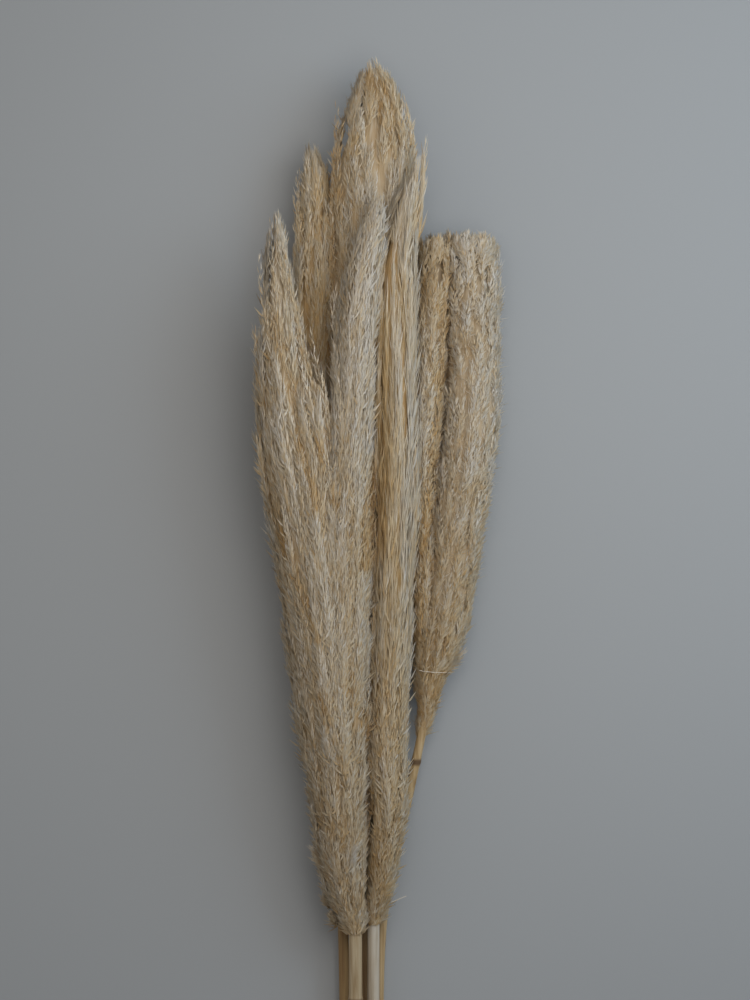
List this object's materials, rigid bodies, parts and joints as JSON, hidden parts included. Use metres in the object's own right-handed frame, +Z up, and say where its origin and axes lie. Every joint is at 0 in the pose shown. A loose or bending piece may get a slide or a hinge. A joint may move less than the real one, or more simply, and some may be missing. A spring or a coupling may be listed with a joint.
{
  "type": "pampas grass bundle",
  "caption": "Loose bundle of dried pampas grass stalks lying on its side, with long feathery cream and tan plumes on bare straw-coloured stems.",
  "frame": {"origin": "on the surface that the bundle lies on, under the middle of its outline", "axes": "+Y from the cut stem ends to the tips of the plumes, +X to the right seen from above, +Z up"},
  "size_m": [0.1973, 1.1042, 0.0994],
  "materials": {
    "culm_straw": "satin",
    "culm_pale": "satin",
    "culm_brown": "satin",
    "plume_cream": "matte",
    "plume_honey": "matte",
    "plume_tan": "matte"
  },
  "bodies": {
    "root": {"culm_front_left": "culm_straw", "culm_middle_right": "culm_pale", "culm_tall_middle": "culm_brown", "culm_right": "culm_straw", "culm_back_left": "culm_brown", "plume_front_left": "plume_cream", "plume_middle_right": "plume_honey", "plume_tall_middle": "plume_cream", "plume_right": "plume_tan", "plume_back_left": "plume_tan"}
  },
  "joints": []
}
